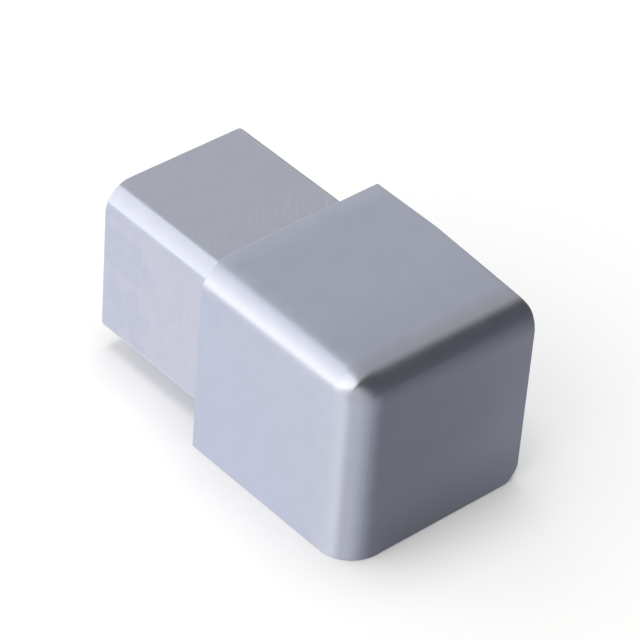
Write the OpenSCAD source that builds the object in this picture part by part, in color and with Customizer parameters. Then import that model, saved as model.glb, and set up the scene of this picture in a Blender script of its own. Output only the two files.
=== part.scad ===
// End cap for a square trim profile: a square head that closes the profile's end, and a plug
// on its back that slides into the profile's chamber. It is one solid piece of metal.
// The origin is on the plug's axis, in the plane of the shoulder against which the profile butts.
// +X runs out through the head's end face, +Y towards the tiled side, and +Z is up.

/* [Head] */
// Width of the head, as wide as the profile
head_w = 12.5; // [10:0.1:25]
// Height of the head, as high as the profile
head_h = 12.5; // [10:0.1:25]
// Length of the head, from its shoulder to its end face
head_l = 12.8; // [9:0.05:30]
// Radius of the three edges that meet at the open corner
edge_r = 2.2; // [0.5:0.1:3]

/* [Eased edges] */
// Radius that the two long edges of the tiled side have reached at the end face
eased_edge_r = 1.2; // [0.5:0.1:2]
// Distance from the shoulder up to which those two edges are square
eased_edge_start = 3.5; // [0.5:0.1:6]

/* [Plug] */
// Length of the plug
plug_l = 9.75; // [5:0.05:20]
// Wall thickness of the profile that the plug slides into
profile_wall = 1.2; // [0.8:0.05:2]
// Gap between the plug and the profile's wall, on each side
plug_gap = 0.1; // [0.05:0.05:0.3]
// Radius of the plug's edge beside the head's rounded long edge
plug_edge_r = 1.7; // [0.3:0.05:2]
// Radius of the plug's three other long edges
plug_small_r = 0.6; // [0.2:0.05:1.5]

/* [Hidden] */
$fn = 96;
// How far a cutter reaches past the surface that it cuts
cut_past = 1;
// How far the plug runs on inside the head, so that the two fuse
plug_root = 2;
plug_w = head_w - 2 * (profile_wall + plug_gap);
plug_h = head_h - 2 * (profile_wall + plug_gap);
// Growth of an eased edge's radius for each millimetre along the head
ease_rate = eased_edge_r / (head_l - eased_edge_start);
ease_l = head_l - eased_edge_start + cut_past;

// Cross-section of what a rounding takes off a square corner at the origin, with metal at +x and +y
module corner_waste(r) {
    difference() {
        translate([-cut_past, -cut_past]) square(r + cut_past);
        translate([r, r]) circle(r);
    }
}

// Rectangle about the origin with a rounding on each corner: lower left, lower right, upper right, upper left
module rounded_rectangle(w, h, radii) {
    difference() {
        square([w, h], center = true);
        translate([-w / 2, -h / 2]) corner_waste(radii[0]);
        translate([w / 2, -h / 2]) mirror([1, 0]) corner_waste(radii[1]);
        translate([w / 2, h / 2]) rotate(180) corner_waste(radii[2]);
        translate([-w / 2, h / 2]) mirror([0, 1]) corner_waste(radii[3]);
    }
}

// Turns a drawing of the cross-section, seen from the end face, into a bar along +X
module bar_along_x(l) {
    rotate([90, 0, 90]) linear_extrude(l) children();
}

// Waste of the long edge between the top and the open side, which carries on from the profile's own edge
module long_edge_waste() {
    translate([-cut_past, -head_w / 2, head_h / 2])
        bar_along_x(head_l + 2 * cut_past) mirror([0, 1]) corner_waste(edge_r);
}

// Waste of the end face's upright edge, which runs down to the flat underside
module upright_edge_waste() {
    translate([head_l, -head_w / 2, -head_h / 2 - cut_past])
        linear_extrude(head_h + 2 * cut_past) mirror([1, 0]) corner_waste(edge_r);
}

// Waste of the end face's top edge
module top_edge_waste() {
    translate([head_l, head_w / 2 + cut_past, head_h / 2])
        rotate([90, 0, 0]) linear_extrude(head_w + 2 * cut_past) rotate(180) corner_waste(edge_r);
}

// Waste of the corner where the three rounded edges meet: a block less the ball that rounds it
module ball_corner_waste() {
    translate([head_l - edge_r, -head_w / 2 + edge_r, head_h / 2 - edge_r])
        difference() {
            translate([0, -edge_r - cut_past, 0]) cube(edge_r + cut_past);
            sphere(edge_r);
        }
}

// Waste of the upper eased edge: a wedge that widens from nothing, less the cone that rounds it
module eased_edge_waste() {
    slope = atan(ease_rate);
    axis_drop = acos(-ease_rate / sqrt(1 + 2 * ease_rate ^ 2));
    cone_r = ease_l * 2 * ease_rate / sqrt(1 + ease_rate ^ 2);
    wedge = [2 * ease_l, 2 * ease_l, 2 * ease_l];
    translate([eased_edge_start, head_w / 2, head_h / 2])
        difference() {
            intersection() {
                rotate([0, 0, -slope]) translate([0, 0, -ease_l]) cube(wedge);
                rotate([0, slope, 0]) translate([0, -ease_l, 0]) cube(wedge);
            }
            rotate([0, axis_drop, -slope]) cylinder(h = 2 * ease_l, r1 = 0, r2 = cone_r);
        }
}

// Square head: three rounded edges run into one ball corner, and the tiled side's two edges are eased
module head() {
    difference() {
        translate([0, -head_w / 2, -head_h / 2]) cube([head_l, head_w, head_h]);
        long_edge_waste();
        upright_edge_waste();
        top_edge_waste();
        ball_corner_waste();
        eased_edge_waste();
        mirror([0, 0, 1]) eased_edge_waste();
    }
}

// Plug that fills the profile's chamber, less the gap
module plug() {
    radii = [plug_small_r, plug_small_r, plug_small_r, plug_edge_r];
    translate([-plug_l, 0, 0])
        bar_along_x(plug_l + plug_root) rounded_rectangle(plug_w, plug_h, radii);
}

module end_cap() {
    color([0.66, 0.67, 0.71]) union() {
        head();
        plug();
    }
}

end_cap();
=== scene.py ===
import math

import bmesh
import bpy
from mathutils import Matrix, Vector


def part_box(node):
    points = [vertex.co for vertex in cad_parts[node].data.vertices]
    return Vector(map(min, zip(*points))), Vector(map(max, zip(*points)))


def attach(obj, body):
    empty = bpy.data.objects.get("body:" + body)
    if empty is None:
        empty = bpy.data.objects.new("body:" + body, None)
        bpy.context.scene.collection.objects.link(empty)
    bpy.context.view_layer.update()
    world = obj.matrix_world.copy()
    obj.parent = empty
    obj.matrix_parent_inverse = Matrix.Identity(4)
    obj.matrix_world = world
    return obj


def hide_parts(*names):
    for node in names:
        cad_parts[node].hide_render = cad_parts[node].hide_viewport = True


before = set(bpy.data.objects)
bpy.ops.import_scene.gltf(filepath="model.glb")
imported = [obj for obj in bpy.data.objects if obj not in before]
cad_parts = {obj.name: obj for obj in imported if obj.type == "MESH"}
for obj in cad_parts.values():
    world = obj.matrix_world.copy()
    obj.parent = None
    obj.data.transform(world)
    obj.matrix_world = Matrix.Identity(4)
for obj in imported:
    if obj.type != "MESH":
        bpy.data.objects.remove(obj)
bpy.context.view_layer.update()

# Sizes of the part, in millimetres, in the part's own frame
MM = 0.001
NODE = "end_cap"
PIECE = "end_cap_finished"
box_low, box_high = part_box(NODE)
HEAD_L = box_high.x / MM
PLUG_L = -box_low.x / MM
HALF_W = box_high.y / MM
HALF_H = box_high.z / MM
EDGE_R = 2.2
EASED_EDGE_R = 1.2
EASED_EDGE_START = 3.5
PLUG_INSET = 1.3
PLUG_EDGE_R = 1.7
PLUG_SMALL_R = 0.6

# Reach of the long edge's rounding in from the open side and down from the top,
# first beside the corner and then at the shoulder
LONG_EDGE_SIDE_R = 2.0
LONG_EDGE_TOP_R = 1.75
SHOULDER_SIDE_R = 2.25
SHOULDER_TOP_R = 1.85

# Finish of the edges that the part's drawing leaves square, and where the eased ones begin to widen
EDGE_BREAK = 0.08
SQUARE_EDGE_R = 0.16
EASED_FROM = EASED_EDGE_START + SQUARE_EDGE_R * (HEAD_L - EASED_EDGE_START) / EASED_EDGE_R

# Turns between two faces, in degrees: up to the first an edge isn't broken, from the second it is
# broken in full, and past the third an inner edge is a crease
SLIGHT_TURN = 20
SHARP_TURN = 60
CREASE_TURN = 30

# Fineness of the mesh and of the searches
HALF_ARC_STEPS = 14
SMALL_ARC_STEPS = 8
BREAK_STEPS = 3
ROWS_TO_MITRE = 14
ROW_REACH = 0.3
JOIN_WITHIN = 0.0005
HALVINGS = 60
SHORTEST_ARM = 0.3
TINY = 1e-9

# Camera, found by fitting the part's outline to the photograph
CAMERA_AZIMUTH = 46.19
CAMERA_ELEVATION = 38.76
CAMERA_ROLL = 4.62
CAMERA_DISTANCE = 200.34
CAMERA_TARGET = (1.42, 1.33, -0.12)
CAMERA_LENS = 205.83
SENSOR_WIDTH = 36.0
CLIP_NEAR = 10
CLIP_FAR = 10000

# Metal: colours, and the least and greatest roughness
HEAD_COLOUR = (0.590, 0.622, 0.741, 1)
PLUG_COLOUR = (0.638, 0.667, 0.769, 1)
# The plug's edge colour is painted shade on its rounded edge
PLUG_SHADED_EDGE_COLOUR = (0.492, 0.540, 0.654, 1)
PLUG_COOL_COLOUR = (0.624, 0.638, 0.757, 1)
PLUG_WARM_COLOUR = (0.655, 0.660, 0.754, 1)
HEAD_ROUGHNESS = (0.20, 0.24)
PLUG_ROUGHNESS = (0.10, 0.15)
BRUSHING = 0.75

# Patterns in the metal: how many of each there are to a millimetre, in all or along each axis
GRAINS = 11.0
FLECKS = 6.0
CLOUDS = 0.9
CUTTER_MARKS = (3.2, 0.22, 0.22)
SCRATCHES = (0.5, 6.0, 0.5)

# Slant of the scratches in degrees, the span that a noise mostly keeps to, and the bump
SCRATCH_SLANT = 41
NOISE_SPAN = (0.3, 0.7)
BUMP_STRENGTH = 0.05
BUMP_DEPTH = 0.02
PLUG_MARK_DEPTH = 0.1

# Share by which each pattern lightens or darkens the metal
HEAD_CLOUD_SWING = 0.015
HEAD_FLECK_SWING = 0.009
PLUG_FLECK_SWING = 0.016
PLUG_STREAK_SWING = (0.010, 0.005)
# The head's top is lighter along the shoulder by the first of these two shares; the second is painted shade
# that darkens the top towards the end
SHOULDER_LIGHTENING = 0.09
END_SHADE = -0.07
SCRATCH_LIFT = 0.12

# Floor, card and lamp, with lengths in metres. The card's focus lies inside the corner by a share of
# the edge's radius.
FLOOR_SIZE = 4.0
FLOOR_COLOUR = (0.922, 0.930, 0.941, 1)
FLOOR_ROUGHNESS = 0.9
CARD_SIZE = 3.0
CARD_LIFT = 0.02 * MM
CARD_FOCUS = 0.62
LAMP_SIZE = 0.5
LAMP_HEIGHT = 0.6
LAMP_ENERGY = 2.05

# Direction in which the room's ceiling, wall, dark end and front meet
MEETING = (0.46, -0.56, 0.69)

# Brightness of the room's parts and of the card, from one end of each to the other
CEILING_TONES = (0.580, 0.46)
CEILING_LIFT_BEHIND = 0.3
WALL_TONES = (1.06, 1.65)
WALL_LIFT_AHEAD = 0.32
DARK_END_TONES = (0.114, 0.156)
DARK_FOOT_LIFT = 0.07
FRONT_RISE = (0.895, 0.985)
FRONT_FALL = (1.0, 0.69)
# The card's glow is a painted reflection of the lit floor, and its dark part before the end face is a
# painted shadow of the part, darkest at the foot
CARD_BEHIND = 0.4
CARD_PAINTED_SHADOW = 0.236
CARD_PALER = 0.072
CARD_PALER_POWER = 2.5
CARD_FAR_LIFT = 0.5
CARD_FOOT_SHADE = -0.28
CARD_FAR_DARK = 0.80

# Tints of the light
PLAIN_TINT = (1, 1, 1, 1)
CEILING_TINT = (1.035, 1.0, 0.935, 1)
DARK_END_TINT = (0.955, 1.0, 1.055, 1)
WALL_TINT = (1.075, 1.02, 0.96, 1)
CARD_COOL_TINT = (0.985, 0.995, 1.04, 1)
CARD_WARM_TINT = (1.024, 1.005, 0.99, 1)


# Geometry

def metres(point):
    return Vector(point) * MM


def eased_radius(x):
    """Radius of the tiled side's long edges at a distance x from the shoulder."""
    growth = EASED_EDGE_R / (HEAD_L - EASED_EDGE_START)
    return max(SQUARE_EDGE_R, growth * (x - EASED_EDGE_START))


def arc_inset(side_radius, top_radius, drop):
    """How far a quarter round has come in from its side face, at a drop below its top face."""
    height = 1 - drop / top_radius
    return side_radius * (1 - math.sqrt(max(0.0, 1 - height ** 2)))


def apex_drop():
    """Drop below the top face at which the three rounded edges meet in one point."""
    low = 0.0
    high = LONG_EDGE_TOP_R
    for _ in range(HALVINGS):
        drop = (low + high) / 2
        from_side = arc_inset(LONG_EDGE_SIDE_R, LONG_EDGE_TOP_R, drop)
        from_end = arc_inset(EDGE_R, EDGE_R, drop)
        reach = math.hypot(EDGE_R - from_side, EDGE_R - from_end)
        if reach > EDGE_R:
            high = drop
        else:
            low = drop
    return low


def point_on_long_edge(x, angle):
    """Angle 0 is at the top face and a right angle at the open side.

    The edge narrows from the shoulder to the corner.
    """
    share = min(1.0, x / (HEAD_L - EDGE_R - ROW_REACH))
    side_radius = SHOULDER_SIDE_R + (LONG_EDGE_SIDE_R - SHOULDER_SIDE_R) * share
    top_radius = SHOULDER_TOP_R + (LONG_EDGE_TOP_R - SHOULDER_TOP_R) * share
    y = -HALF_W + side_radius * (1 - math.sin(angle))
    return (x, y, HALF_H - top_radius * (1 - math.cos(angle)))


def point_on_top_edge(y, angle):
    """Angle 0 is at the top face and a right angle at the end face."""
    x = HEAD_L - EDGE_R * (1 - math.sin(angle))
    return (x, y, HALF_H - EDGE_R * (1 - math.cos(angle)))


def point_on_upright_edge(z, angle):
    """Angle 0 is at the open side and a right angle at the end face."""
    x = HEAD_L - EDGE_R * (1 - math.sin(angle))
    return (x, -HALF_W + EDGE_R * (1 - math.cos(angle)), z)


def point_on_eased_edge(x, angle, up):
    """Angle 0 is at the top face, or the bottom one if up is -1, and a right angle at the tiled side."""
    radius = eased_radius(x)
    y = HALF_W - radius * (1 - math.sin(angle))
    return (x, y, up * (HALF_H - radius * (1 - math.cos(angle))))


def spread(first, last, steps):
    return [first + (last - first) * i / steps for i in range(steps + 1)]


def top_edge_right_end(angle):
    """Where a line of the end face's top edge meets the tiled side or its eased edge."""
    x, _, z = point_on_top_edge(0, angle)
    radius = eased_radius(x)
    rise = z - (HALF_H - radius)
    if rise <= 0:
        return (x, HALF_W, z)
    return (x, HALF_W - radius + math.sqrt(max(0.0, radius ** 2 - rise ** 2)), z)


def eased_edge_meets_top_edge():
    """Angle on the end face's top edge at which the upper eased edge has turned into the tiled side."""
    low = 0.0
    high = math.pi / 2
    for _ in range(HALVINGS):
        angle = (low + high) / 2
        x, _, z = point_on_top_edge(0, angle)
        if z > HALF_H - eased_radius(x):
            low = angle
        else:
            high = angle
    return low


class Shell:
    """Collects the faces of the piece, in millimetres, and makes the joined mesh."""

    def __init__(self):
        self.mesh = bmesh.new()

    def face(self, points):
        corners = []
        for point in points:
            if not corners or (Vector(point) - Vector(corners[-1])).length > JOIN_WITHIN:
                corners.append(point)
        if (Vector(corners[0]) - Vector(corners[-1])).length <= JOIN_WITHIN:
            corners.pop()
        if len(corners) > 2:
            self.mesh.faces.new([self.mesh.verts.new(corner) for corner in corners])

    def strip(self, lines):
        """Quads between neighbouring lines, which have as many points as each other."""
        for here, there in zip(lines, lines[1:]):
            for i in range(len(here) - 1):
                self.face([here[i], here[i + 1], there[i + 1], there[i]])

    def joined(self):
        bmesh.ops.remove_doubles(self.mesh, verts=self.mesh.verts, dist=JOIN_WITHIN)
        bmesh.ops.recalc_face_normals(self.mesh, faces=self.mesh.faces)
        return self.mesh


def rows(start, end):
    """Points from start to end along a line that ends on a mitre."""
    first = Vector(start)
    run = Vector(end) - first
    return [tuple(first + run * share) for share in spread(0, 1, ROWS_TO_MITRE)]


def build_shell():
    """The piece with its three rounded edges mitred where they meet. The corner is rounded afterwards."""
    quarter = math.pi / 2
    drop = apex_drop()
    long_apex = math.acos(1 - drop / LONG_EDGE_TOP_R)
    top_apex = math.acos(1 - drop / EDGE_R)
    eased_meets = eased_edge_meets_top_edge()

    # Angles at which the lines of two rounded edges meet on each of the three mitres. The top edge and
    # the upright edge have one radius, so their two angles are the same.
    mitre_up = []
    for angle in spread(0, long_apex, HALF_ARC_STEPS):
        fall = LONG_EDGE_TOP_R * (1 - math.cos(angle))
        mitre_up.append((angle, math.acos(1 - fall / EDGE_R)))
    mitre_side = []
    for angle in spread(long_apex, quarter, HALF_ARC_STEPS):
        inset = LONG_EDGE_SIDE_R * (1 - math.sin(angle))
        mitre_side.append((angle, math.acos(1 - inset / EDGE_R)))
    mitre_end = sorted(spread(top_apex, quarter, HALF_ARC_STEPS) + [eased_meets])

    long_angles = [pair[0] for pair in mitre_up] + [pair[0] for pair in mitre_side[1:]]
    top_angles = [pair[1] for pair in mitre_up] + mitre_end[1:]
    upright_angles = [pair[1] for pair in reversed(mitre_side)] + mitre_end[1:]
    eased_angles = []
    for angle in top_angles:
        if angle < eased_meets + TINY:
            x, _, z = top_edge_right_end(angle)
            radius = eased_radius(x)
            eased_angles.append(math.acos(min(1.0, max(0.0, 1 - (HALF_H - z) / radius))))
    small_angles = spread(0, quarter, SMALL_ARC_STEPS)

    shell = Shell()
    row_x = HEAD_L - EDGE_R - ROW_REACH
    row_y = -HALF_W + EDGE_R + ROW_REACH
    row_z = HALF_H - EDGE_R - ROW_REACH

    # Long edge, from the shoulder to its mitres
    long_lines = []
    for i, angle in enumerate(long_angles):
        if i <= HALF_ARC_STEPS:
            x = point_on_top_edge(0, top_angles[i])[0]
        else:
            x = point_on_upright_edge(0, mitre_side[i - HALF_ARC_STEPS][1])[0]
        near = point_on_long_edge(row_x, angle)
        line = [point_on_long_edge(0, angle)] + rows(near, point_on_long_edge(x, angle))
        long_lines.append(line)
    shell.strip(long_lines)

    # Top edge of the end face, from its mitres to the tiled side
    top_lines = []
    for i, angle in enumerate(top_angles):
        if i <= HALF_ARC_STEPS:
            y = point_on_long_edge(HEAD_L, long_angles[i])[1]
        else:
            y = point_on_upright_edge(0, mitre_end[i - HALF_ARC_STEPS])[1]
        near = point_on_top_edge(row_y, angle)
        line = [top_edge_right_end(angle)] + rows(near, point_on_top_edge(y, angle))
        top_lines.append(line)
    shell.strip(top_lines)

    # Upright edge of the end face, from its mitres down to the underside
    upright_lines = []
    for i, angle in enumerate(upright_angles):
        if i <= HALF_ARC_STEPS:
            z = point_on_long_edge(HEAD_L, mitre_side[HALF_ARC_STEPS - i][0])[2]
        else:
            z = point_on_top_edge(0, mitre_end[i - HALF_ARC_STEPS])[2]
        near = point_on_upright_edge(row_z, angle)
        foot = point_on_upright_edge(-HALF_H, angle)
        line = [foot] + rows(near, point_on_upright_edge(z, angle))
        upright_lines.append(line)
    shell.strip(upright_lines)

    # The tiled side's two eased edges
    upper_lines = []
    for i, angle in enumerate(eased_angles):
        line = [point_on_eased_edge(x, angle, 1) for x in (0, EASED_FROM, row_x)]
        upper_lines.append(line + [top_lines[i][0]])
    shell.strip(upper_lines)
    lower_lines = []
    for angle in small_angles:
        lower_lines.append([point_on_eased_edge(x, angle, -1) for x in (0, EASED_FROM, row_x, HEAD_L)])
    shell.strip(lower_lines)

    # Flat faces of the head
    back_corner = (0, -HALF_W, -HALF_H)
    below_eased = [line[0] for line in top_lines[len(eased_angles):]]
    foot_line = [line[0] for line in upright_lines]
    shell.face(long_lines[0] + top_lines[0][::-1][1:] + upper_lines[0][::-1][1:])
    shell.face(long_lines[-1] + upright_lines[0][::-1][1:] + [back_corner])
    shell.face(top_lines[-1] + upright_lines[-1][::-1][1:] + [line[-1] for line in lower_lines])
    shell.face(upper_lines[-1] + below_eased + lower_lines[-1][::-1])
    shell.face(foot_line[::-1] + [back_corner] + lower_lines[0])

    # Shoulder, as a ring between the head's outline and the plug's
    head_loop = [line[0] for line in reversed(long_lines)]
    head_loop += [line[0] for line in upper_lines]
    head_loop += [line[0] for line in reversed(lower_lines)]
    head_loop += [back_corner] * (SMALL_ARC_STEPS + 1)
    plug_corners = [
        (-1, 1, PLUG_EDGE_R, list(reversed(long_angles))),
        (1, 1, PLUG_SMALL_R, eased_angles),
        (1, -1, PLUG_SMALL_R, list(reversed(small_angles))),
        (-1, -1, PLUG_SMALL_R, small_angles),
    ]
    plug_half_w = HALF_W - PLUG_INSET
    plug_half_h = HALF_H - PLUG_INSET
    plug_loop = []
    for side, up, radius, angles in plug_corners:
        for angle in angles:
            y = side * (plug_half_w - radius * (1 - math.sin(angle)))
            z = up * (plug_half_h - radius * (1 - math.cos(angle)))
            plug_loop.append((0, y, z))
    plug_end = [(-PLUG_L, y, z) for _, y, z in plug_loop]
    shell.strip([head_loop + head_loop[:1], plug_loop + plug_loop[:1]])
    shell.strip([plug_loop + plug_loop[:1], plug_end + plug_end[:1]])
    shell.face(plug_end)
    return shell.joined()


def closeness(inset, radius):
    """Square of how near a face is: 1 on the face, and 0 where its rounding begins."""
    return max(0.0, 1 - inset / radius) ** 2


def shared_radius(first_radius, first_weight, second_radius, second_weight):
    """Radius for a face that belongs to two rounded edges, nearer to that of the edge that weighs more."""
    weight = first_weight + second_weight
    if weight < TINY:
        return (first_radius + second_radius) / 2
    return (first_radius * first_weight + second_radius * second_weight) / weight


def corner_level(point):
    """Is 1 on the rounded corner's surface, less inside it and more outside."""
    from_end = HEAD_L - point.x
    from_side = point.y + HALF_W
    from_top = HALF_H - point.z
    near_end = closeness(from_end, EDGE_R)
    near_side = closeness(from_side, EDGE_R)
    near_top = closeness(from_top, EDGE_R)
    side = closeness(from_side, shared_radius(LONG_EDGE_SIDE_R, near_top, EDGE_R, near_end))
    top = closeness(from_top, shared_radius(LONG_EDGE_TOP_R, near_side, EDGE_R, near_end))
    return near_end + side + top


def in_corner(point):
    """Is true where all three rounded edges reach."""
    reach = EDGE_R + JOIN_WITHIN
    return HEAD_L - point.x < reach and point.y + HALF_W < reach and HALF_H - point.z < reach


def round_corner(mesh):
    """Draws the vertices of the mitred corner in to a ball, which runs into the long edge's own section."""
    heart = Vector((HEAD_L - EDGE_R, -HALF_W + EDGE_R, HALF_H - EDGE_R))
    for vert in mesh.verts:
        if not in_corner(vert.co):
            continue
        arm = vert.co - heart
        low = SHORTEST_ARM
        high = 1.0
        for _ in range(HALVINGS):
            share = (low + high) / 2
            if corner_level(heart + arm * share) > 1:
                high = share
            else:
                low = share
        vert.co = heart + arm * high


def edge_break_weight(edge):
    """Share of the edge break that an edge gets: all of it on a square edge, none on a smooth one."""
    if len(edge.link_faces) != 2 or not edge.is_convex:
        return 0.0
    if in_corner(edge.verts[0].co) or in_corner(edge.verts[1].co):
        return 0.0
    turn = math.degrees(edge.calc_face_angle())
    return max(0.0, min(1.0, (turn - SLIGHT_TURN) / (SHARP_TURN - SLIGHT_TURN)))


def build_piece():
    """The finished piece, with a rounded corner, broken edges and flat faces that are shaded flat."""
    mesh = build_shell()
    round_corner(mesh)
    weight_layer = mesh.edges.layers.float.new("bevel_weight_edge")
    for edge in mesh.edges:
        edge[weight_layer] = edge_break_weight(edge)
        edge.smooth = edge.is_convex or edge.calc_face_angle(0) < math.radians(CREASE_TURN)
    for face in mesh.faces:
        face.smooth = True
    bmesh.ops.scale(mesh, vec=(MM, MM, MM), verts=mesh.verts)
    data = bpy.data.meshes.new(PIECE)
    mesh.to_mesh(data)
    mesh.free()
    piece = bpy.data.objects.new(PIECE, data)
    bpy.context.scene.collection.objects.link(piece)
    bevel = piece.modifiers.new("edge_break", "BEVEL")
    bevel.limit_method = "WEIGHT"
    bevel.width = EDGE_BREAK * MM
    bevel.segments = BREAK_STEPS
    bevel.use_clamp_overlap = False
    normals = piece.modifiers.new("flat_faces_stay_flat", "WEIGHTED_NORMAL")
    normals.mode = "FACE_AREA"
    normals.keep_sharp = True
    return piece


# Shader nodes

def add(tree, kind, **settings):
    node = tree.nodes.new(kind)
    for name, value in settings.items():
        setattr(node, name, value)
    return node


def join(tree, source, target):
    tree.links.new(source, target)


def feed(tree, value, socket):
    """Gives a socket a fixed number or colour, or what another node puts out."""
    if isinstance(value, (int, float, tuple)):
        socket.default_value = value
    else:
        join(tree, value, socket)


def axes_of(tree, vector):
    node = add(tree, "ShaderNodeSeparateXYZ")
    join(tree, vector, node.inputs["Vector"])
    return node.outputs["X"], node.outputs["Y"], node.outputs["Z"]


def scaled_position(tree, position, scale):
    """The position on the part, in millimetres, stretched by a factor for each axis."""
    mapping = add(tree, "ShaderNodeMapping")
    mapping.inputs["Scale"].default_value = tuple(s / MM for s in scale)
    join(tree, position, mapping.inputs["Vector"])
    return mapping.outputs["Vector"]


def turned_position(tree, position, degrees):
    """The position turned about the upright axis."""
    mapping = add(tree, "ShaderNodeMapping")
    mapping.inputs["Rotation"].default_value = (0, 0, math.radians(degrees))
    join(tree, position, mapping.inputs["Vector"])
    return mapping.outputs["Vector"]


def noise(tree, vector, scale, detail):
    texture = add(tree, "ShaderNodeTexNoise")
    texture.inputs["Scale"].default_value = scale
    texture.inputs["Detail"].default_value = detail
    join(tree, vector, texture.inputs["Vector"])
    return texture.outputs["Fac"]


def ranged(tree, value, low, high, to_low, to_high, smooth=False):
    """Runs from to_low to to_high while value runs from low to high, and stays there beyond."""
    node = add(tree, "ShaderNodeMapRange", clamp=True)
    if smooth:
        node.interpolation_type = "SMOOTHSTEP"
    node.inputs["From Min"].default_value = low
    node.inputs["From Max"].default_value = high
    node.inputs["To Min"].default_value = to_low
    node.inputs["To Max"].default_value = to_high
    join(tree, value, node.inputs["Value"])
    return node.outputs["Result"]


def swing(tree, pattern, low, high):
    """Stretches the span that a noise mostly keeps to, so that it runs from low to high."""
    return ranged(tree, pattern, *NOISE_SPAN, low, high)


def maths(tree, operation, first, second):
    node = add(tree, "ShaderNodeMath", operation=operation)
    feed(tree, first, node.inputs[0])
    feed(tree, second, node.inputs[1])
    return node.outputs["Value"]


def plus(tree, first, second):
    return maths(tree, "ADD", first, second)


def times(tree, first, second):
    return maths(tree, "MULTIPLY", first, second)


def blend(tree, share, first, second):
    """A number that is first where share is 0 and second where it is 1."""
    node = add(tree, "ShaderNodeMix", data_type="FLOAT")
    feed(tree, share, node.inputs[0])
    feed(tree, first, node.inputs[2])
    feed(tree, second, node.inputs[3])
    return node.outputs[0]


def mixed_colour(tree, share, first, second):
    """A colour that is first where share is 0 and second where it is 1."""
    node = add(tree, "ShaderNodeMix", data_type="RGBA")
    feed(tree, share, node.inputs["Factor"])
    feed(tree, first, node.inputs["A"])
    feed(tree, second, node.inputs["B"])
    return node.outputs["Result"]


# Metal

class Surface:
    """Places on the metal, and the patterns that its colour, roughness and bump follow."""

    def __init__(self, tree):
        self.tree = tree
        self.position = add(tree, "ShaderNodeTexCoord").outputs["Object"]
        normal = add(tree, "ShaderNodeNewGeometry").outputs["Normal"]
        self.x = axes_of(tree, self.position)[0]
        _, self.facing_y, self.facing_z = axes_of(tree, normal)
        self.on_head = maths(tree, "GREATER_THAN", self.x, -0.01 * MM)
        self.on_top = ranged(tree, self.facing_z, 0.85, 0.97, 0.0, 1.0)
        even = scaled_position(tree, self.position, (1, 1, 1))
        self.grain = noise(tree, even, GRAINS, 2.0)
        self.fleck = noise(tree, even, FLECKS, 2.0)
        self.cloud = noise(tree, even, CLOUDS, 3.0)
        self.marks = noise(tree, scaled_position(tree, self.position, CUTTER_MARKS), 1.0, 4.0)


def head_tone(metal):
    """Lightness of the head, whose top is lighter along the shoulder and has painted shade that darkens it
    towards the end.
    """
    tree = metal.tree
    lighter_by_shoulder = ranged(tree, metal.x, 0.1 * MM, 1.6 * MM, SHOULDER_LIGHTENING, 0.0, smooth=True)
    # Painted shade on the top, darker towards the end
    shade = ranged(tree, metal.x, 6.0 * MM, 11.0 * MM, 0.0, END_SHADE, smooth=True)
    top_tone = times(tree, metal.on_top, plus(tree, lighter_by_shoulder, shade))
    flecks = swing(tree, metal.fleck, -HEAD_FLECK_SWING, HEAD_FLECK_SWING)
    clouds = swing(tree, metal.cloud, 1 - HEAD_CLOUD_SWING, 1 + HEAD_CLOUD_SWING)
    return plus(tree, clouds, plus(tree, top_tone, flecks))


def plug_scratches(metal):
    """Short slanting scratches on the plug's top, beside the shoulder."""
    tree = metal.tree
    slanted = turned_position(tree, metal.position, SCRATCH_SLANT)
    lines = noise(tree, scaled_position(tree, slanted, SCRATCHES), 1.0, 2.0)
    scratch = ranged(tree, lines, 0.60, 0.72, 0.0, SCRATCH_LIFT)
    beside = ranged(tree, metal.x, -4.5 * MM, -1.0 * MM, 0.0, 1.0, smooth=True)
    return times(tree, times(tree, scratch, beside), metal.on_top)


def plug_tone(metal):
    """Lightness of the plug, whose sides are more streaked than its top."""
    tree = metal.tree
    uneven = plus(tree, swing(tree, metal.marks, -1, 1), swing(tree, metal.cloud, -2, 2))
    streaks = times(tree, ranged(tree, metal.facing_z, 0.3, 0.9, *PLUG_STREAK_SWING), uneven)
    flecks = swing(tree, metal.fleck, 1 - PLUG_FLECK_SWING, 1 + PLUG_FLECK_SWING)
    return plus(tree, streaks, plus(tree, plug_scratches(metal), flecks))


def plug_side_colour(metal):
    """Colour of the plug's open side, cooler towards the far end with a blotched and streaked bound."""
    tree = metal.tree
    blotches = swing(tree, metal.cloud, -1.2 * MM, 1.2 * MM)
    streaks = swing(tree, metal.marks, -0.7 * MM, 0.7 * MM)
    uneven_x = plus(tree, metal.x, plus(tree, blotches, streaks))
    near_shoulder = ranged(tree, uneven_x, -6.6 * MM, -5.4 * MM, 0.0, 1.0)
    in_blotch = ranged(tree, metal.cloud, 0.44, 0.60, 0.0, 0.7)
    warm = maths(tree, "MAXIMUM", near_shoulder, in_blotch)
    return mixed_colour(tree, warm, PLUG_COOL_COLOUR, PLUG_WARM_COLOUR)


def plug_colour(metal):
    """Colour of the plug, whose rounded edge is darkened below its flats by painted shade."""
    tree = metal.tree
    towards_side = ranged(tree, metal.facing_y, -0.56, -0.87, 0.0, 1.0)
    towards_top = ranged(tree, metal.facing_z, 0.28, 0.46, 0.0, 1.0)
    # Painted shade: the rounded edge, facing between the open side and the top, is darkened
    painted_edge_shade = times(tree, towards_side, towards_top)
    on_side = ranged(tree, metal.facing_y, -0.93, -0.99, 0.0, 1.0)
    colour = mixed_colour(tree, painted_edge_shade, PLUG_COLOUR, PLUG_SHADED_EDGE_COLOUR)
    return mixed_colour(tree, on_side, colour, plug_side_colour(metal))


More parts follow.
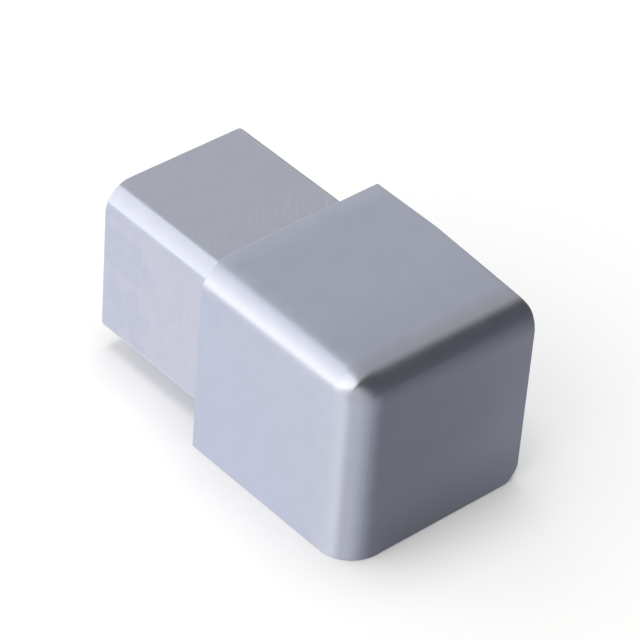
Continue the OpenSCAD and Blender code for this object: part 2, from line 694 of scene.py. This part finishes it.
def satin_metal():
    """A blasted head with a fine grain, and a smoother plug with the marks of the cutter across it."""
    material = bpy.data.materials.new("satin_metal")
    material.use_nodes = True
    tree = material.node_tree
    shader = tree.nodes["Principled BSDF"]
    shader.inputs["Metallic"].default_value = 1.0
    shader.inputs["Anisotropic"].default_value = BRUSHING
    around = add(tree, "ShaderNodeTangent", direction_type="RADIAL", axis="X")
    join(tree, around.outputs["Tangent"], shader.inputs["Tangent"])
    metal = Surface(tree)

    head_roughness = swing(tree, metal.cloud, *HEAD_ROUGHNESS)
    plug_roughness = swing(tree, metal.cloud, *PLUG_ROUGHNESS)
    join(tree, blend(tree, metal.on_head, plug_roughness, head_roughness), shader.inputs["Roughness"])

    tone = blend(tree, metal.on_head, plug_tone(metal), head_tone(metal))
    tint = add(tree, "ShaderNodeVectorMath", operation="SCALE")
    join(tree, mixed_colour(tree, metal.on_head, plug_colour(metal), HEAD_COLOUR), tint.inputs[0])
    join(tree, tone, tint.inputs["Scale"])
    join(tree, tint.outputs["Vector"], shader.inputs["Base Color"])

    height = blend(tree, metal.on_head, times(tree, metal.marks, PLUG_MARK_DEPTH), metal.grain)
    bump = add(tree, "ShaderNodeBump")
    bump.inputs["Strength"].default_value = BUMP_STRENGTH
    bump.inputs["Distance"].default_value = BUMP_DEPTH * MM
    join(tree, height, bump.inputs["Height"])
    join(tree, bump.outputs["Normal"], shader.inputs["Normal"])
    return material


# Stage

def plane(name, size, centre):
    mesh = bmesh.new()
    bmesh.ops.create_grid(mesh, x_segments=1, y_segments=1, size=size / 2)
    data = bpy.data.meshes.new(name)
    mesh.to_mesh(data)
    mesh.free()
    obj = bpy.data.objects.new(name, data)
    obj.location = centre
    bpy.context.scene.collection.objects.link(obj)
    return obj


def make_floor():
    floor = plane("floor", FLOOR_SIZE, (0, 0, box_low.z))
    material = bpy.data.materials.new("floor")
    material.use_nodes = True
    shader = material.node_tree.nodes["Principled BSDF"]
    shader.inputs["Base Color"].default_value = FLOOR_COLOUR
    shader.inputs["Roughness"].default_value = FLOOR_ROUGHNESS
    shader.inputs["Specular IOR Level"].default_value = 0.0
    floor.data.materials.append(material)


def turn_about(tree, vector):
    """The vector turned so that the bisector of +X and -Y lies ahead.

    With it comes its bearing, as a share of a full turn that starts behind the part.
    """
    turned = turned_position(tree, vector, 45)
    bearing = add(tree, "ShaderNodeTexGradient", gradient_type="RADIAL")
    join(tree, turned, bearing.inputs["Vector"])
    return turned, bearing.outputs["Fac"]


def open_side(tree, bearing):
    """Brightness of what lies low before the open side, and the share of the dark end in it."""
    rise = ranged(tree, bearing, 0.25, 0.35, *FRONT_RISE)
    fall = ranged(tree, bearing, 0.365, 0.45, *FRONT_FALL, smooth=True)
    dark_share = ranged(tree, bearing, 0.465, 0.70, 0.0, 1.0, smooth=True)
    return times(tree, rise, fall), dark_share


def card_white(tree, y, bearing, near_white):
    """Brightness of the card before the open side, a painted reflection of the lit floor, which is lighter
    far off.
    """
    far_off = ranged(tree, y, -35 * MM, -220 * MM, 0.0, CARD_FAR_LIFT)
    away_from_end = ranged(tree, bearing, 0.28, 0.36, 1.0, 0.0, smooth=True)
    return times(tree, near_white, plus(tree, times(tree, far_off, away_from_end), 1.0))


def card_painted_shadow(tree, x, y, across):
    """Brightness of the card before the end face, a painted shadow of the part, paler towards the tiled
    side and darker at the foot, where it paints the contact shadow.
    """
    near_end = ranged(tree, x, 1.5 * MM, 4.2 * MM, CARD_FOOT_SHADE, 0.0)
    before_end = ranged(tree, y, 0.3 * MM, 3.0 * MM, 0.5, 1.0)
    foot_shade = plus(tree, times(tree, near_end, before_end), 1.0)
    far_end = ranged(tree, x, 15 * MM, 70 * MM, 1.0, CARD_FAR_DARK)
    towards_tiles = ranged(tree, across, -0.5 * MM, -6.7 * MM, 0.0, 1.0)
    paler = times(tree, maths(tree, "POWER", towards_tiles, CARD_PALER_POWER), CARD_PALER)
    return times(tree, times(tree, foot_shade, far_end), plus(tree, paler, CARD_PAINTED_SHADOW))


def card_tint(tree, bearing, dark_share):
    """Tint of the card: cool behind the part, and warm before the open side."""
    before_side = ranged(tree, bearing, 0.215, 0.27, 0.0, 1.0, smooth=True)
    warm = times(tree, before_side, ranged(tree, dark_share, 0.0, 0.6, 1.0, 0.3))
    return mixed_colour(tree, warm, CARD_COOL_TINT, CARD_WARM_TINT)


def graded_card_material():
    material = bpy.data.materials.new("graded_card")
    material.use_nodes = True
    tree = material.node_tree
    tree.nodes.remove(tree.nodes["Principled BSDF"])
    position = add(tree, "ShaderNodeTexCoord").outputs["Object"]
    x, y, _ = axes_of(tree, position)
    turned, bearing = turn_about(tree, position)
    across = axes_of(tree, turned)[0]
    near_white, dark_share = open_side(tree, bearing)
    white = card_white(tree, y, bearing, near_white)
    dark = card_painted_shadow(tree, x, y, across)

    # The turn's two ends meet behind the part, where the card is a plain grey
    last_of_turn = ranged(tree, bearing, 0.86, 1.0, 0.0, 1.0, smooth=True)
    past_start = ranged(tree, bearing, 0.0, 0.12, 0.0, 1.0, smooth=True)
    ahead = blend(tree, last_of_turn, blend(tree, dark_share, white, dark), CARD_BEHIND)
    glow = add(tree, "ShaderNodeEmission")
    join(tree, card_tint(tree, bearing, dark_share), glow.inputs["Color"])
    join(tree, blend(tree, past_start, CARD_BEHIND, ahead), glow.inputs["Strength"])
    join(tree, glow.outputs["Emission"], tree.nodes["Material Output"].inputs["Surface"])
    return material


def make_graded_card():
    """A glowing card on the floor, seen only in the metal: a painted reflection of the floor, white on the
    open side, with a painted shadow of the part that is dark before the end face.
    """
    inset = EDGE_R * CARD_FOCUS
    focus = metres((HEAD_L - inset, -HALF_W + inset, -HALF_H))
    card = plane("graded_card", CARD_SIZE, focus + Vector((0, 0, CARD_LIFT)))
    card.visible_camera = False
    card.visible_diffuse = False
    card.visible_shadow = False
    card.visible_transmission = False
    card.data.materials.append(graded_card_material())


def ceiling_tone(tree, x):
    """Brightness of the ceiling, which falls towards the end and rises behind the part."""
    overhead = ranged(tree, x, -0.60, 0.25, *CEILING_TONES)
    return plus(tree, overhead, ranged(tree, x, -0.66, -0.85, 0.0, CEILING_LIFT_BEHIND, smooth=True))


def dark_end_tone(tree, y, z):
    """Brightness of the dark end, which rises towards its foot."""
    height = plus(tree, z, ranged(tree, y, 0.54, -0.30, 0.0, -0.25))
    foot = ranged(tree, height, 0.0, -0.25, 0.0, DARK_FOOT_LIFT)
    return plus(tree, ranged(tree, height, 0.36, 0.0, *DARK_END_TONES), foot)


def dark_end_share(tree, x, y):
    """Is 1 at the dark end. Its bound with the ceiling is sharp where the room's parts meet."""
    bound = ranged(tree, y, MEETING[1], 0.15, MEETING[0], 0.41)
    bound = plus(tree, bound, ranged(tree, y, 0.15, 0.54, 0.0, -0.088))
    blur = ranged(tree, y, MEETING[1], 0.54, 0.02, 0.2)
    past_bound = maths(tree, "DIVIDE", maths(tree, "SUBTRACT", x, bound), blur)
    return ranged(tree, past_bound, -1.0, 1.0, 0.0, 1.0, smooth=True)


def wall_tone(tree, x, z):
    """Brightness of the wall on the open side, which rises towards its foot and towards the end."""
    from_foot = ranged(tree, z, 0.78, 0.08, *WALL_TONES)
    return plus(tree, from_foot, ranged(tree, x, -0.52, -0.1, 0.0, WALL_LIFT_AHEAD))


def wall_share(tree, x, y):
    """Is 1 on the wall. Its bound with the ceiling draws away towards the end."""
    first_fall = ranged(tree, x, -0.57, -0.50, 0.0, 0.1)
    later_fall = ranged(tree, x, -0.50, -0.25, 0.0, 0.1)
    slant = plus(tree, plus(tree, first_fall, later_fall), times(tree, x, 0.15))
    past_ceiling = ranged(tree, plus(tree, y, slant), -0.231, -0.327, 0.0, 1.0, smooth=True)
    before_end = ranged(tree, x, 0.38, 0.47, 1.0, 0.0, smooth=True)
    return times(tree, past_ceiling, before_end)


def front_tone(tree, direction, z, dark_end):
    """Brightness of the pale front, which turns to the dark end in a fan about the meeting."""
    leaning = add(tree, "ShaderNodeVectorMath", operation="MULTIPLY_ADD")
    leaning.inputs[1].default_value = (-MEETING[0] / MEETING[2], -MEETING[1] / MEETING[2], 0)
    join(tree, z, leaning.inputs[0])
    join(tree, direction, leaning.inputs[2])
    white, dark_share = open_side(tree, turn_about(tree, leaning.outputs["Vector"])[1])
    return blend(tree, dark_share, white, dark_end)


def front_share(tree, x, y, z):
    """Is 1 on the front, under the wall."""
    foot_slant = plus(tree, z, times(tree, x, -0.57))
    under_wall = ranged(tree, foot_slant, 0.13, 0.29, 1.0, 0.0, smooth=True)
    before_side = ranged(tree, y, -0.05, -0.25, 0.0, 1.0, smooth=True)
    return times(tree, under_wall, before_side)


def room_tint(tree, x, y, z, on_wall):
    """Tint of the room: plain behind, warm overhead and low on the wall, and cool at the dark end."""
    over_end = ranged(tree, x, -0.56, 0.30, 0.0, 1.0)
    colour = mixed_colour(tree, over_end, PLAIN_TINT, CEILING_TINT)
    far_end = ranged(tree, x, 0.55, 0.75, 0.0, 1.0)
    at_end = times(tree, far_end, ranged(tree, y, -0.4, 0.0, 0.0, 1.0))
    colour = mixed_colour(tree, at_end, colour, DARK_END_TINT)
    low_on_wall = times(tree, on_wall, ranged(tree, z, 0.72, 0.42, 0.0, 1.0))
    return mixed_colour(tree, low_on_wall, colour, WALL_TINT)


def make_world():
    """A mid-grey ceiling between a bright wall on the open side and a dark end, with a pale front below."""
    world = bpy.data.worlds.new("studio")
    bpy.context.scene.world = world
    world.use_nodes = True
    tree = world.node_tree
    direction = add(tree, "ShaderNodeTexCoord").outputs["Generated"]
    x, y, z = axes_of(tree, direction)

    dark_end = dark_end_tone(tree, y, z)
    beyond = blend(tree, dark_end_share(tree, x, y), ceiling_tone(tree, x), dark_end)
    on_wall = wall_share(tree, x, y)
    high = blend(tree, on_wall, beyond, wall_tone(tree, x, z))
    low = front_tone(tree, direction, z, dark_end)
    room = blend(tree, front_share(tree, x, y, z), high, low)

    background = tree.nodes["Background"]
    join(tree, room_tint(tree, x, y, z, on_wall), background.inputs["Color"])
    join(tree, room, background.inputs["Strength"])


def make_overhead_lamp():
    """Lifts the floor to white. The metal's own light is the room, so the lamp stays out of it."""
    light = bpy.data.lights.new("overhead", "AREA")
    light.shape = "DISK"
    light.size = LAMP_SIZE
    light.energy = LAMP_ENERGY
    lamp = bpy.data.objects.new("overhead", light)
    lamp.location = (0.0, 0.0, LAMP_HEIGHT)
    lamp.visible_glossy = False
    bpy.context.scene.collection.objects.link(lamp)


def make_camera():
    azimuth = math.radians(CAMERA_AZIMUTH)
    elevation = math.radians(CAMERA_ELEVATION)
    level = math.cos(elevation)
    back = Vector((math.sin(azimuth) * level, -math.cos(azimuth) * level, math.sin(elevation)))
    data = bpy.data.cameras.new("camera")
    data.sensor_width = SENSOR_WIDTH
    data.lens = CAMERA_LENS
    data.clip_start = CLIP_NEAR * MM
    data.clip_end = CLIP_FAR * MM
    camera = bpy.data.objects.new("camera", data)
    aim = back.to_track_quat("Z", "Y").to_matrix().to_4x4()
    roll = Matrix.Rotation(math.radians(CAMERA_ROLL), 4, "Z")
    place = metres(CAMERA_TARGET) + back * CAMERA_DISTANCE * MM
    camera.matrix_world = Matrix.Translation(place) @ aim @ roll
    bpy.context.scene.collection.objects.link(camera)
    bpy.context.scene.camera = camera


bpy.context.scene.view_settings.view_transform = "Standard"
make_camera()
make_floor()
make_graded_card()
make_world()
make_overhead_lamp()

piece = build_piece()
piece.data.materials.append(satin_metal())
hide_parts(NODE)
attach(piece, "root")
